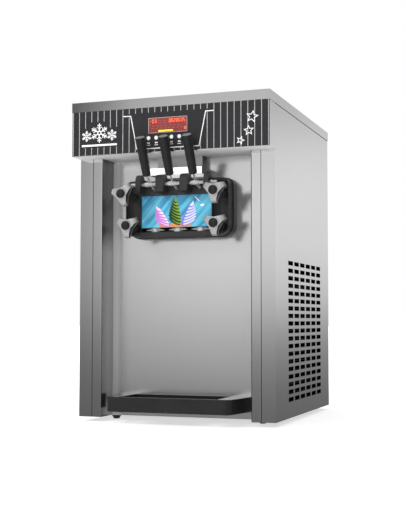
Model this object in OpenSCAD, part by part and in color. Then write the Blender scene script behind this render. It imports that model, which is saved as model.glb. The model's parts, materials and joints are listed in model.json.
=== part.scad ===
// Countertop soft serve machine with two freezing cylinders and three dispensing valves.
// Working frame of every module: X to the right as seen from the front, Y to the back,
// Z up. Y = 0 is the front face of the pillars and Z = 0 the underside of the cabinet.
// place() moves that frame so that the origin is the centre of the footprint, on the floor.

/* [Cabinet] */
// Width over the side panels
body_w = 535; // [520:1:560]
// Height of the cabinet without its feet
body_h = 819.5; // [810:0.5:830]
// Depth from the front of the pillars to the back
body_d = 590; // [580:1:620]
// Height of the header box, with the top cover's band
header_h = 141.5; // [135:0.5:145]
// How far the header stands out in front of the pillars
header_out = 50; // [45:1:55]
// Height of the top cover's skirt
band_h = 25; // [20:1:30]
// Sheet thickness of the casing
sheet = 1.2; // [1:0.1:1.5]
// Height of the rubber feet
foot_h = 12; // [10:1:20]

/* [Front recess] */
// Half the clear width between the pillars
bay_half = 204; // [200:1:210]
// Depth of the recess, from the pillars to the front panel
bay_d = 69; // [65:1:75]
// Width of the corner flange that the side panel folds round the front
wrap_w = 36; // [30:1:40]

/* [Side vents] */
// Columns of slots in a side panel
vent_cols = 6; // [1:1:6]
// Rows of slots in a side panel
vent_rows = 19; // [1:1:19]
// Length of a slot
vent_l = 49; // [40:1:52]
// Height of a slot
vent_h = 11.3; // [8:0.1:13]
// Distance from column to column
vent_pitch_y = 62.3; // [60:0.1:64]
// Distance from row to row
vent_pitch_z = 19.6; // [18:0.1:20]

/* [Dispensing head] */
// Half the width of the moulded head
head_half = 146; // [144:1:148]
// Underside of the head
head_z0 = 465.5; // [464:0.5:467]
// Top of the head's outer rim
head_z1 = 618.5; // [617:0.5:619]
// Distance between neighbouring valves
valve_pitch = 63; // [62:0.5:64]

/* [Levers] */
// Forward lean of the handles, in degrees
lever_lean = 27.3; // [25:0.1:29]
// Length of a handle
handle_l = 102; // [95:1:105]
// Radius of a handle at its top
handle_r = 13; // [11:0.1:13.5]

/* [Hand nuts] */
// Height of the upper pair
nut_z_up = 575; // [573:1:577]
// Height of the lower pair
nut_z_low = 494.5; // [493:0.5:496]
// Half the distance across the upper pair
nut_x_up = 124.7; // [124:0.1:125]
// Half the distance across the lower pair
nut_x_low = 119; // [118:0.5:120]
// Reach of a lobe from the stud's axis
lobe_r = 31; // [28:0.5:32]

/* [Drip tray] */
// Half the tray's width at the front panel
tray_half_back = 186; // [175:1:195]
// Half the tray's width at its front
tray_half_front = 166; // [155:1:170]
// Height of the tray
tray_h = 37.5; // [32:0.5:39]
// How far the tray's front stands in front of the pillars
tray_out = 55; // [50:1:60]

/* [Hidden] */
$fn = 64;
half_w = body_w / 2;
half_in = half_w - sheet;
head_y1 = bay_d;                      // back face of the head, on the front panel
head_y0 = 14;                         // front edge of the head's rim
box_half = 97.5;                      // the box that carries the picture
box_y0 = 12;
slot_z0 = 480;                        // opening that shows the nozzle collars
slot_z1 = 491;
deck_z = 580;                         // top of the box between the lugs
wall_z1 = 598.5;                      // top of the low wall in front of the pistons
wall_t = 5;
valve_x = [-valve_pitch, 0, valve_pitch];
rod_y = -8;
rod_z = 602;
rod_r = 4.5;
lug_r = 18;                           // rounded top of a lug
lug_z0 = 580;
lug_z1 = 627;
arm_l = 37;                           // rear arm of a lever
arm_a = 22.5;                         // its angle below the horizontal at rest
pin_y = rod_y + arm_l * cos(arm_a);
pin_z = rod_z - arm_l * sin(arm_a);
piston_y = rod_y + arm_l * (1 + cos(arm_a)) / 2;
piston_r = 10;
handle_y0 = -35;                      // foot of the handle, on its own axis
handle_z0 = 622;
cover_half = half_w + 1.7;            // outside of the top cover
cyl_z = 535;                          // axis height of the freezing cylinders
cyl_x = 63;
cyl_r = 45;
cyl_wall = 4;
cyl_y0 = bay_d + sheet;
cyl_y1 = 378;
belt_y = 447;
belt_w = 14;
pulley_r = 55;                        // beater pulleys
motor_pulley_r = 28;
motor_z = 330;
hopper_x = 119;
hopper_half = 88;
hopper_y0 = 140;
hopper_y1 = 430;
fan_x = 172;
fan_y = 300;
fan_z = 225;
fan_r = 118;
gland_x = -180;
gland_z = 80;
gland_out = 8;
feet_x = [-205, 205];
feet_y = [100, 530];
// the front of the handles and the back of the gland set the middle of the footprint
handle_front = handle_y0 - (handle_l - 1) * sin(lever_lean) - (handle_r - 0.3) * cos(lever_lean);
origin_y = -(handle_front + body_d + gland_out) / 2;

// Screws of the rear panel, as [x, z]
screw_x = half_w - 30;
screw_spots = concat([for (x = [-screw_x, screw_x], z = [12, body_h / 2, body_h - band_h - 12]) [x, z]],
                     [for (z = [12, body_h - band_h - 12]) [0, z]]);

module place() translate([0, origin_y, foot_h]) children();

// Box between two corners
module slab(a, b) translate(a) cube(b - a);

// Cylinders along each axis, from a start point
module rod_x(p, r, l) translate(p) rotate([0, 90, 0]) cylinder(r = r, h = l);
module rod_y_at(p, r, l) translate(p) rotate([-90, 0, 0]) cylinder(r = r, h = l);
module rod_z_at(p, r, l) translate(p) cylinder(r = r, h = l);

// Flat outline in X and Z, extruded from y0 to y1
module sheet_xz(y0, y1) translate([0, y1, 0]) rotate([90, 0, 0]) linear_extrude(y1 - y0) children();

// Outline in Y and Z, extruded from x0 to x1
module sheet_yz(x0, x1)
  translate([x0, 0, 0]) rotate([90, 0, 90]) linear_extrude(x1 - x0) children();

// Rectangle with its own radius at the top and at the bottom corners
module round_rect(x0, x1, z0, z1, r_low, r_top) {
  difference() {
    translate([x0, z0]) square([x1 - x0, z1 - z0]);
    for (s = [0, 1]) {
      x = s == 0 ? x0 : x1;
      d = s == 0 ? 1 : -1;
      corner_cut(x, z0, d, 1, r_low);
      corner_cut(x, z1, d, -1, r_top);
    }
  }
}

// What a rounded corner takes off a square one
module corner_cut(x, z, dx, dz, r)
  difference() {
    translate([x + dx * (r / 2 - 0.5), z + dz * (r / 2 - 0.5)]) square(r + 1, center = true);
    translate([x + dx * r, z + dz * r]) circle(r);
  }

// Holes that the rear panel's screws pass through
module screw_holes() for (s = screw_spots) rod_y_at([s[0], body_d - 12, s[1]], 2.05, 14);

module mirror_if(left) {
  if (left) mirror([1, 0, 0]) children();
  else children();
}

// ---------------------------------------------------------------- cabinet

// Angle post with its corner at a point and its flanges pointing inwards
module post(x, y, dx, dy, z0, z1, w) {
  t = 2;
  slab([min(x, x + dx * t), min(y, y + dy * w), z0], [max(x, x + dx * t), max(y, y + dy * w), z1]);
  slab([min(x, x + dx * w), min(y, y + dy * t), z0], [max(x, x + dx * w), max(y, y + dy * t), z1]);
}

module base_pan() color("gainsboro") place() difference() {
  y1 = body_d - sheet;
  union() {
    slab([-half_in, sheet, 0], [half_in, y1, 2]);
    for (s = [-1, 1]) slab([min(s * half_in, s * (half_in - 2)), sheet, 0],
                           [max(s * half_in, s * (half_in - 2)), y1, 25]);
    slab([-half_in, y1 - 2, 0], [half_in, y1, 25]);
  }
  slab([-bay_half - 3.5, -1, -1], [bay_half + 3.5, bay_d + 2 * sheet + 0.1, 3]);
  for (x = feet_x, y = feet_y) rod_z_at([x, y, -1], 4, 4);
  rod_z_at([60, 200, -1], 20, 4);
  screw_holes();
}

// Welded frame inside the casing: posts, rails and the cradle of the cylinders
module inner_frame() color("darkgray") place() difference() {
  z_top = body_h - band_h - 2;
  z_bed = cyl_z - cyl_r - cyl_wall;
  x_in = half_in - 22;
  union() {
    for (s = [-1, 1]) {
      post(s * (half_in - 2), sheet, -s, 1, 2, z_top, 25);
      post(s * (half_in - 2), body_d - sheet - 2, -s, -1, 2, z_top, 34);
      // rails along the sides, a stiffener behind the vents and its tie to the rear post
      x0 = s > 0 ? half_in - 4 : -half_in + 2;
      slab([x0, 26, z_top - 25], [x0 + 2, body_d - 30, z_top]);
      slab([x0, 118, 2], [x0 + 2, 132, z_top - 25]);
      slab([s > 0 ? x_in : -half_in + 2, 130, 2], [s > 0 ? half_in - 2 : -x_in, 132, z_top - 25]);
      slab([s > 0 ? x_in : -x_in - 2, 132, 420], [s > 0 ? x_in + 2 : -x_in, 565, 440]);
    }
    slab([-half_in + 2, body_d - sheet - 4, z_top - 25], [half_in - 2, body_d - sheet - 2, z_top]);
    // two cross rails with saddles under the freezing cylinders
    for (y = [135, 330]) {
      slab([-x_in, y, 420], [x_in, y + 20, 424]);
      for (x = [-150, 146]) slab([x, y, 423], [x + 4, y + 20, 481]);
      slab([-150, y, 480], [150, y + 20, z_bed]);
    }
  }
  screw_holes();
}

module feet() color("#1b1b1d") place()
  for (x = feet_x, y = feet_y) translate([x, y, -foot_h]) {
    rotate_extrude() polygon([[0, 0], [7, 0], [8, 1], [13, foot_h - 2], [13, foot_h], [0, foot_h]]);
    cylinder(r = 3.9, h = foot_h + 4);
  }

// Rectangular air slots of a side panel
module vent_slots()
  for (c = [0 : vent_cols - 1], r = [0 : vent_rows - 1])
    slab([half_w - 3, 123.5 + c * vent_pitch_y, 42 + r * vent_pitch_z],
         [half_w + 1, 123.5 + c * vent_pitch_y + vent_l, 42 + r * vent_pitch_z + vent_h]);

module side_panel(left) color("lightgray") place() mirror_if(left) {
  z1 = body_h - band_h;
  difference() {
    slab([half_in, 0, 0], [half_w, body_d, z1]);
    vent_slots();
  }
  slab([half_w - wrap_w, 0, 0], [half_in, sheet, z1]);
  slab([half_w - 20, body_d - sheet, 0], [half_in, body_d, z1]);
}
module side_panel_left() side_panel(true);
module side_panel_right() side_panel(false);

module rear_panel() color("lightgray") place() difference() {
  slab([-half_w + 20.3, body_d - sheet, 0], [half_w - 20.3, body_d, body_h - band_h]);
  for (c = [0 : 4], r = [0 : 13])
    slab([-150 + c * 62, body_d - 3, 180 + r * 20], [-150 + c * 62 + vent_l, body_d + 1, 191 + r * 20]);
  screw_holes();
  rod_y_at([gland_x, body_d - 3, gland_z], 11.2, 5);
}

module front_pillars() color("silver") place() for (left = [false, true]) mirror_if(left) {
  z1 = body_h - header_h - 0.2;
  slab([bay_half + 3, 0, 0], [half_w - wrap_w - 1.6, sheet, z1]);
  // rolled inner corner
  translate([bay_half + 3, 3, 0]) rotate([0, 0, 180])
    rotate_extrude(angle = 90) translate([3 - sheet, 0]) square([sheet, z1]);
  slab([bay_half, 3, 0], [bay_half + sheet, bay_d + 2 * sheet, z1]);
  slab([bay_half - 14, bay_d + sheet, 0], [bay_half, bay_d + 2 * sheet, z1]);
}

module front_panel() color("lightgray") place() {
  z1 = body_h - header_h - 0.2;
  difference() {
    slab([-bay_half + 0.3, bay_d, 0], [bay_half - 0.3, bay_d + sheet, z1]);
    for (s = [-1, 1]) {
      rod_y_at([s * cyl_x, bay_d - 1, cyl_z], cyl_r, 4);
      rod_y_at([s * nut_x_up, bay_d - 1, nut_z_up], 4.6, 4);
      rod_y_at([s * nut_x_low, bay_d - 1, nut_z_low], 4.6, 4);
    }
  }
  // ledges that carry the drip tray, reaching out past its middle
  for (s = [-1, 1]) {
    slab([s * 110 - 25, -20, 17.5], [s * 110 + 25, bay_d, 19.5]);
    slab([s * 110 - 25, bay_d - 2, 6], [s * 110 + 25, bay_d, 17.5]);
  }
}

module top_cover() color("lightgray") place() {
  z0 = body_h - band_h;
  y0 = -header_out - 1;
  y1 = body_d + 1;
  difference() {
    slab([-cover_half, y0, z0], [cover_half, y1, body_h]);
    slab([-cover_half + 1, y0 + 1, z0 - 1], [cover_half - 1, y1 - 1, body_h - 1.2]);
    for (s = [-1, 1])
      slab([s * hopper_x - hopper_half - 1, hopper_y0 - 1, z0],
           [s * hopper_x + hopper_half + 1, hopper_y1 + 1, body_h + 1]);
  }
}

// ---------------------------------------------------------------- header and controls

header_z0 = body_h - header_h;
header_z1 = body_h - band_h;
header_half = cover_half - 1;
display_z0 = 727.5;
display_z1 = 766.5;
display_half = 52.7;
button_x = [for (i = [0 : 5]) -52.1 + i * 20.9];
button_z = 715.5;
button_r = 5;

module header_shell() color("lightgray") place() {
  y0 = -header_out;
  difference() {
    union() {
      slab([-header_half, y0, header_z0], [header_half, y0 + sheet, header_z1]);
      for (s = [-1, 1]) slab([s > 0 ? header_half - sheet : -header_half, y0, header_z0],
                             [s > 0 ? header_half : sheet - header_half, -0.3, header_z1]);
      slab([-header_half, y0, header_z0], [header_half, -0.3, header_z0 + sheet]);
      slab([-bay_half + 0.3, -1, header_z0], [bay_half - 0.3, bay_d + 20, header_z0 + sheet]);
      // posts for the control board
      for (x = [-66, 66], z = [704, 772]) rod_y_at([x, y0 + sheet, z], 3, 16);
    }
    slab([-display_half + 3, y0 - 1, display_z0 + 3], [display_half - 3, y0 + 3, display_z1 - 3]);
    for (x = button_x) rod_y_at([x, y0 - 1, button_z], button_r + 0.4, 4);
  }
}

module header_overlay() color("#232225") place() difference() {
  slab([-header_half, -header_out - 0.5, header_z0 + 2], [header_half, -header_out, header_z1]);
  slab([-display_half, -header_out - 2, display_z0], [display_half, -header_out + 1, display_z1]);
  for (x = button_x) rod_y_at([x, -header_out - 2, button_z], button_r + 0.4, 4);
}

module display_window() color("#8c1f14") place()
  slab([-display_half + 0.1, -header_out - 0.7, display_z0 + 0.1],
       [display_half - 0.1, -header_out, display_z1 - 0.1]);

// Push button i: a domed cap with a collar behind the sheet and a stem to its switch
module button(i) color("white") place() translate([button_x[i], -header_out, button_z])
  rotate([-90, 0, 0]) rotate_extrude()
    polygon([[0, -1.9], [3.6, -1.8], [4.6, -1.5], [button_r, -0.9], [button_r, 1.7],
             [6.6, 1.7], [6.6, 3], [2, 3], [2, 12.8], [0, 12.8]]);
module button_1() button(0);
module button_2() button(1);
module button_3() button(2);
module button_4() button(3);
module button_5() button(4);
module button_6() button(5);

module control_board() color("#1f5c3a") place() {
  y0 = -header_out + sheet + 16;
  slab([-72, y0, 698], [72, y0 + 1.6, 778]);
  slab([-46, y0 - 6, 731], [46, y0, 763]);
  for (x = button_x) slab([x - 3, y0 - 3.2, button_z - 3], [x + 3, y0, button_z + 3]);
  slab([-60, y0 + 1.6, 705], [-30, y0 + 12, 725]);
  for (x = [0, 22, 44]) rod_y_at([x, y0 + 1.6, 750], 6, 14);
}

// ---------------------------------------------------------------- dispensing head

hood_half = 62;
hood_y0 = 38;
guard_half = 73;
guard_y0 = 2;
guard_z0 = 627;
guard_z1 = 645;

// Polished cover behind the levers: a wide step over the pistons and a narrower box up to the header
module valve_hood() color("whitesmoke") place() difference() {
  t = 1.5;
  union() {
    slab([-guard_half, guard_y0, guard_z0], [guard_half, bay_d, guard_z1]);
    slab([-hood_half, hood_y0, guard_z1 - 1], [hood_half, bay_d, header_z0]);
  }
  slab([-guard_half + t, guard_y0 + t, guard_z0 - 1], [guard_half - t, bay_d - t, guard_z1 - t]);
  slab([-hood_half + t, hood_y0 + t, guard_z0], [hood_half - t, bay_d - t, header_z0 + 1]);
}

// Outline of the head's outer shell, shrunk by an inset
module head_outline(inset)
  round_rect(-head_half + inset, head_half - inset, head_z0 + inset, head_z1 - inset, 32 - inset, 22 - inset);

// One of the four lugs that carry the pivot rod
module lug(x, w) sheet_yz(x - w / 2, x + w / 2) {
  front = rod_y - lug_r;
  z_rear = head_z1 - 2.5;
  translate([rod_y, lug_z1 - lug_r]) circle(lug_r);
  translate([front + 4, lug_z0 + 4]) circle(4);
  polygon([[front, lug_z0 + 4], [front + 4, lug_z0], [52, lug_z0], [52, z_rear], [rod_y, z_rear],
           [front, lug_z1 - lug_r]]);
}

// Sleeve that spaces a hand nut off the head
module nut_boss(x, z, y0) difference() {
  rod_y_at([x, y0, z], 10, 40 - y0);
  rod_y_at([x, y0 - 1, z], 4.3, 60);
}

boss_y_up = -20;
boss_y_low = -4;
port_z = 506;
card_z0 = 491.6;
card_z1 = 574;

module dispensing_head() color("#2c2d2f") place() difference() {
  union() {
    // stepped shell: a wide flange on the panel and a narrower body in front of it
    difference() {
      union() {
        sheet_xz(44, head_y1) head_outline(0);
        sheet_xz(head_y0, 44) head_outline(3);
      }
      // scooped wings
      for (s = [-1, 1]) intersection() {
        sheet_xz(head_y0 - 1, 60) round_rect(s * 119 - 21, s * 119 + 21, head_z0 + 9, head_z1 - 9, 17, 13);
        rod_z_at([s * 119, 4, head_z0], 30, 160);
      }
      // open top between the outer lugs
      slab([-box_half, head_y0 - 1, deck_z], [box_half, 52, head_z1 + 1]);
      slab([-box_half, head_y0 - 5, slot_z0], [box_half, 47, slot_z1]);
    }
    // box that carries the picture, and the wall on it with its rounded top
    slab([-box_half, box_y0, slot_z1], [box_half, 40, deck_z]);
    slab([-box_half, box_y0, deck_z - 1], [box_half, box_y0 + wall_t, wall_z1 - wall_t / 2]);
    rod_x([-box_half, box_y0 + wall_t / 2, wall_z1 - wall_t / 2], wall_t / 2, 2 * box_half);
    // bottom bar in front of the nozzles
    slab([-box_half - 3, 8, head_z0 + 6], [box_half + 3, 16, slot_z0]);
    rod_x([-box_half - 3, 14, head_z0 + 6], 6, 2 * box_half + 6);
    for (s = [-1, 1]) {
      lug(s * 33, 21);
      lug(s * 93, 12);
      nut_boss(s * nut_x_up, nut_z_up, boss_y_up);
      nut_boss(s * nut_x_low, nut_z_low, boss_y_low);
    }
  }
  // recess for the picture card
  slab([-96, box_y0 - 1, card_z0 - 0.1], [96, box_y0 + 1, card_z1 + 0.1]);
  rod_x([-150, rod_y, rod_z], rod_r + 0.05, 300);
  for (x = valve_x) {
    rod_z_at([x, piston_y, slot_z0 + 2], piston_r + 0.05, 130);
    rod_z_at([x, piston_y, head_z0 - 5], 8.9, 25);
    // notch for the lever's arm
    slab([x - 4.2, box_y0 - 1, wall_z1 - 12.5], [x + 4.2, box_y0 + wall_t + 1, wall_z1 + 1]);
  }
  // feed ports from the two cylinders and the cross channel of the middle valve
  for (x = valve_x) rod_y_at([x, piston_y, port_z], 7, 60);
  slab([-60, 59, port_z - 7], [60, head_y1 + 1, port_z + 7]);
  for (s = [-1, 1]) {
    rod_y_at([s * nut_x_up, -30, nut_z_up], 4.3, 120);
    rod_y_at([s * nut_x_low, -30, nut_z_low], 4.3, 120);
  }
}

module picture_card() color("deepskyblue") place()
  slab([-95.9, box_y0, card_z0], [95.9, box_y0 + 1, card_z1]);

module pivot_rod() color("gainsboro") place() {
  difference() {
    rod_x([-118, rod_y, rod_z], rod_r, 236);
    for (s = [-1, 1]) translate([s * 113, rod_y, rod_z]) rotate([0, 90, 0]) difference() {
      cylinder(r = 6, h = 1.2, center = true);
      cylinder(r = 3, h = 3, center = true);
    }
  }
  for (s = [-1, 1]) translate([s * 103, rod_y, rod_z]) rotate([0, 90, 0]) difference() {
    cylinder(r = 6.2, h = 3, center = true);
    cylinder(r = rod_r, h = 5, center = true);
  }
}

module lever_stem(x) color("gainsboro") place() translate([x, 0, 0]) {
  dy = handle_y0 - rod_y;
  dz = handle_z0 - rod_z;
  neck_l = sqrt(dy * dy + dz * dz);
  difference() {
    union() {
      rod_x([-15, rod_y, rod_z], 6, 20);
      // neck up to the handle
      translate([0, rod_y, rod_z]) rotate([atan2(-dy, dz), 0, 0]) translate([0, 0, 3])
        cylinder(r = 2.4, h = neck_l - 5);
      // rear arm down to the piston, with the pin that lifts it
      translate([0, rod_y, rod_z]) rotate([-arm_a, 0, 0]) translate([-3, 3, -2.5])
        cube([6, arm_l - 5, 5]);
      rod_x([-3.5, pin_y, pin_z], 4.5, 7);
      rod_x([-8.4, pin_y, pin_z], 2.5, 16.8);
      // collar under the handle and the tang inside it
      translate([0, handle_y0, handle_z0]) rotate([lever_lean, 0, 0]) rotate_extrude()
        polygon([[0, -3], [4.6, -3], [5.4, -2.2], [5.4, 0], [3, 0], [3, 39], [2, 40], [0, 40]]);
    }
    rod_x([-20, rod_y, rod_z], rod_r + 0.05, 40);
  }
}
module lever_stem_left() lever_stem(valve_x[0]);
module lever_stem_middle() lever_stem(valve_x[1]);
module lever_stem_right() lever_stem(valve_x[2]);

module lever_handle(x) color("#1d1c1f") place() translate([x, handle_y0, handle_z0])
  rotate([lever_lean, 0, 0]) difference() {
    rotate_extrude() polygon([[0, 0], [9.4, 0], [10.3, 0.8], [10.8, 3], [handle_r - 0.2, handle_l - 8],
                              [handle_r, handle_l - 3], [handle_r - 0.3, handle_l - 1],
                              [handle_r - 1, handle_l], [0, handle_l]]);
    translate([0, 0, -1]) cylinder(r = 3, h = 41);
  }
module lever_handle_left() lever_handle(valve_x[0]);
module lever_handle_middle() lever_handle(valve_x[1]);
module lever_handle_right() lever_handle(valve_x[2]);

// Valve piston with its two seal grooves; its foot stands on the outlet's seat
piston_z0 = 491.5;
piston_l = deck_z + 0.8 - piston_z0;
groove_r = 8.6;
module piston(x) color("whitesmoke") place() translate([x, piston_y, 0]) {
  translate([0, 0, piston_z0]) rotate_extrude() polygon([[0, 0], [groove_r, 0], [piston_r, 1.4],
    [piston_r, 6], [groove_r, 6], [groove_r, 8.4], [piston_r, 8.4], [piston_r, 76], [groove_r, 76],
    [groove_r, 78.4], [piston_r, 78.4], [piston_r, piston_l], [0, piston_l]]);
  // clevis that the lever's pin lifts
  for (s = [-1, 1]) difference() {
    intersection() {
      slab([s > 0 ? 4.5 : -8, -7, deck_z], [s > 0 ? 8 : -4.5, 7, deck_z + 20]);
      rod_z_at([0, 0, deck_z], piston_r, 30);
    }
    slab([-10, -4.4, pin_z - 2.85], [10, 4.4, pin_z + 2.85]);
  }
}
module piston_left() piston(valve_x[0]);
module piston_middle() piston(valve_x[1]);
module piston_right() piston(valve_x[2]);

// Star with n points
module star(n, r_out, r_in)
  polygon([for (i = [0 : 2 * n - 1]) let (r = i % 2 == 0 ? r_out : r_in, a = i * 180 / n + 90)
    [r * cos(a), r * sin(a)]]);

// Outlet nozzle with a star bore and a collar nut, which two wings turn
module nozzles() color("silver") place() for (x = valve_x) translate([x, piston_y, 0]) difference() {
  z0 = head_z0 + 0.5;
  union() {
    translate([0, 0, z0]) rotate_extrude() polygon([[0, 0], [7, 0], [8.6, 2], [8.6, 16], [0, 16]]);
    rod_z_at([0, 0, slot_z0 + 0.2], 10.4, slot_z1 - slot_z0 - 0.4);
    sheet_xz(-4, 4) polygon([[-25, 485.4], [-10, 484], [10, 484], [25, 485.4], [25, 486.8], [10, 489.8],
                             [-10, 489.8], [-25, 486.8]]);
  }
  translate([0, 0, z0 - 5]) linear_extrude(50) star(6, 6, 3.6);
}

module head_studs() color("gainsboro") place() for (s = [-1, 1]) {
  rod_y_at([s * nut_x_up, -58, nut_z_up], 4, 58 + cyl_y0 + 8);
  rod_y_at([s * nut_x_low, -39, nut_z_low], 4, 39 + cyl_y0 + 8);
}

// Half width of a lobe along its length
lobe_half = [[0, 13.4], [9, 12.4], [14, 10.9], [18, 9.3], [22, 8], [lobe_r - 1, 6.4], [lobe_r, 5.4]];

// Outline of a hand nut, grown by a margin, with one of its three lobes pointing along an angle
module nut_outline(turn, grow) {
  circle(15.4 + grow);
  for (k = [0 : 2]) rotate(120 * k + turn)
    for (side = [-1, 1])
      polygon(concat([for (p = lobe_half) [p[0] + grow, side * (p[1] + grow)]],
                     [[lobe_r + grow, 0], [0, 0]]));
}

// Three lobed hand nut on a stud, its cap centred at cap_y, turned by an angle.
// Its lobes curve back towards their tips.
module hand_nut(x, z, cap_y, boss_y, turn) color("silver") place() translate([x, cap_y, z])
  rotate([-90, 0, 0]) difference() {
    union() {
      intersection() {
        translate([0, 0, 3.5]) linear_extrude(16) nut_outline(90 + turn, 0);
        rotate_extrude() polygon([[0, 4], [16, 4], [19, 4.4], [22, 5.4], [25, 7], [27.5, 9], [29.5, 11.4],
          [31.2, 14.4], [33, 19.5], [0, 19.5]]);
      }
      // rim at the back, and the ring round the cap
      translate([0, 0, 18.5]) linear_extrude(2.5) nut_outline(90 + turn, 0.8);
      translate([0, 0, 3]) cylinder(r = 15, h = 6);
      translate([0, 0, 20]) cylinder(r = 9.5, h = boss_y - cap_y - 20.3);
    }
    translate([0, 0, 2]) cylinder(r = 4.05, h = 90);
    // seat for the cap
    translate([0, 0, 2]) cylinder(r = cap_r + 0.1, h = 2.5);
  }
cap_r = 11.6;
nut_up_y = -64;
nut_low_y = -45;
module hand_nut_upper_left() hand_nut(-nut_x_up, nut_z_up, nut_up_y, boss_y_up, -14);
module hand_nut_upper_right() hand_nut(nut_x_up, nut_z_up, nut_up_y, boss_y_up, 0);
module hand_nut_lower_left() hand_nut(-nut_x_low, nut_z_low, nut_low_y, boss_y_low, 0);
module hand_nut_lower_right() hand_nut(nut_x_low, nut_z_low, nut_low_y, boss_y_low, 0);

// Domed cap, pressed into the seat of a hand nut
module nut_cap(x, z, cap_y) color("#1d1c1f") place() translate([x, cap_y, z]) rotate([-90, 0, 0])
  rotate_extrude() intersection() {
    translate([0, 12.1]) circle(16.5);
    translate([0, -10]) square([cap_r, 14.5]);
  }
module nut_cap_upper_left() nut_cap(-nut_x_up, nut_z_up, nut_up_y);
module nut_cap_upper_right() nut_cap(nut_x_up, nut_z_up, nut_up_y);
module nut_cap_lower_left() nut_cap(-nut_x_low, nut_z_low, nut_low_y);
module nut_cap_lower_right() nut_cap(nut_x_low, nut_z_low, nut_low_y);

// ---------------------------------------------------------------- drip tray

tray_z0 = 20;
tray_z1 = tray_z0 + tray_h;
tray_y1 = bay_d - 0.2;
well_half = 128;
well_y0 = -tray_out + 9;
well_y1 = tray_y1 - 9;
grid_z0 = tray_z1 - 13;

module tray_plan(grow) {
  hb = tray_half_back + grow;
  hf = tray_half_front + grow;
  y0 = -tray_out - grow;
  r = 16;
  difference() {
    polygon([[-hb, tray_y1], [-hf, y0], [hf, y0], [hb, tray_y1]]);
    for (s = [-1, 1]) difference() {
      translate([s * hf, y0]) square(2 * r - 6, center = true);
      translate([s * (hf - r + 1), y0 + r]) circle(r);
      translate([s * (hf - 2 * r), y0 + r]) square(2 * r, center = true);
      translate([s * (hf - r), y0 + 2 * r]) square(2 * r + 8, center = true);
    }
  }
}

module drip_tray() color("#1d1c1f") place() difference() {
  union() {
    translate([0, 0, tray_z0]) linear_extrude(tray_h - 6) tray_plan(-1.2);
    translate([0, 0, tray_z1 - 7]) linear_extrude(7) tray_plan(0);
  }
  slab([-well_half, well_y0, tray_z0 + 3], [well_half, well_y1, tray_z1 + 1]);
  slab([-well_half - 4, well_y0 - 4, grid_z0], [well_half + 4, well_y1 + 4, tray_z1 + 1]);
}

module tray_grid() color("#29292c") place() difference() {
  slab([-well_half - 3.5, well_y0 - 3.5, grid_z0], [well_half + 3.5, well_y1 + 3.5, grid_z0 + 3]);
  for (i = [0 : 13], r = [0, 1]) translate([-well_half + 5 + i * 18, well_y0 + 6 + r * 52, 0])
    slab([0, 0, grid_z0 - 1], [11, 44, grid_z0 + 4]);
}

// ---------------------------------------------------------------- freezing and drive

module freezing_cylinders() color("gainsboro") place() {
  difference() {
    union() {
      sheet_xz(cyl_y0, cyl_y0 + 8) round_rect(-140, 140, 474, 600, 20, 20);
      for (s = [-1, 1]) {
        rod_y_at([s * cyl_x, cyl_y0, cyl_z], cyl_r + cyl_wall, cyl_y1 - cyl_y0);
        rod_y_at([s * cyl_x, cyl_y1 - 1, cyl_z], 18, 24);
      }
    }
    for (s = [-1, 1]) {
      rod_y_at([s * cyl_x, cyl_y0 - 1, cyl_z], cyl_r, cyl_y1 - cyl_y0 - 3);
      rod_y_at([s * cyl_x, cyl_y1 - 10, cyl_z], 9.05, 50);
      rod_y_at([s * nut_x_up, cyl_y0 - 1, nut_z_up], 4, 10);
      rod_y_at([s * nut_x_low, cyl_y0 - 1, nut_z_low], 4, 10);
      rod_z_at([s * cyl_x, 200, cyl_z], 10.1, 80);
    }
  }
}

// Scraper with two blades on a spider, and its drive shaft
module beater(s) color("white") place() translate([s * cyl_x, 0, cyl_z]) {
  rod_y_at([0, 84, 0], 9, belt_y + belt_w + 4 - 84);
  for (a = [0, 180]) rotate([0, a, 0]) {
    slab([30, 84, -3], [43, cyl_y1 - 10, 3]);
    for (y = [84, 220, 350]) slab([0, y, -3], [31, y + 12, 3]);
  }
}
module beater_left() beater(-1);
module beater_right() beater(1);

module pulley(x, z, r, bore) translate([x, belt_y - 3, z]) rotate([-90, 0, 0]) difference() {
  union() {
    cylinder(r = r, h = belt_w + 6);
    cylinder(r = r + 3, h = 2.4);
    translate([0, 0, belt_w + 3.6]) cylinder(r = r + 3, h = 2.4);
  }
  translate([0, 0, -1]) cylinder(r = bore, h = 40);
  if (r > 40) for (a = [0 : 60 : 300]) rotate([0, 0, a]) translate([32, 0, -1])
    cylinder(r = 11, h = 40);
}
module motor_pulley() color("silver") place() pulley(0, motor_z, motor_pulley_r, 7);
module beater_pulley_left() color("silver") place() pulley(-cyl_x, cyl_z, pulley_r, 9);
module beater_pulley_right() color("silver") place() pulley(cyl_x, cyl_z, pulley_r, 9);

// Belt: the band between the hulls round the three pulleys
module belt_loop(grow) hull() {
  for (s = [-1, 1]) translate([s * cyl_x, cyl_z]) circle(r = pulley_r + grow, $fn = 72);
  translate([0, motor_z]) circle(r = motor_pulley_r + grow, $fn = 48);
}
module drive_belt() color("#222222") place() sheet_xz(belt_y, belt_y + belt_w - 0.4) difference() {
  belt_loop(2.6);
  belt_loop(0.6);
}

module drive_motor() color("dimgray") place() {
  rod_y_at([0, 230, motor_z], 60, 170);
  rod_y_at([0, 400, motor_z], 30, 14);
  rod_y_at([0, 414, motor_z], 7, belt_y + belt_w + 2 - 414);
  difference() {
    slab([-70, 260, motor_z + 30], [70, 370, 420]);
    rod_y_at([0, 200, motor_z], 60, 300);
  }
  slab([-20, 275, motor_z - 78], [20, 350, motor_z - 55]);
}

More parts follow.
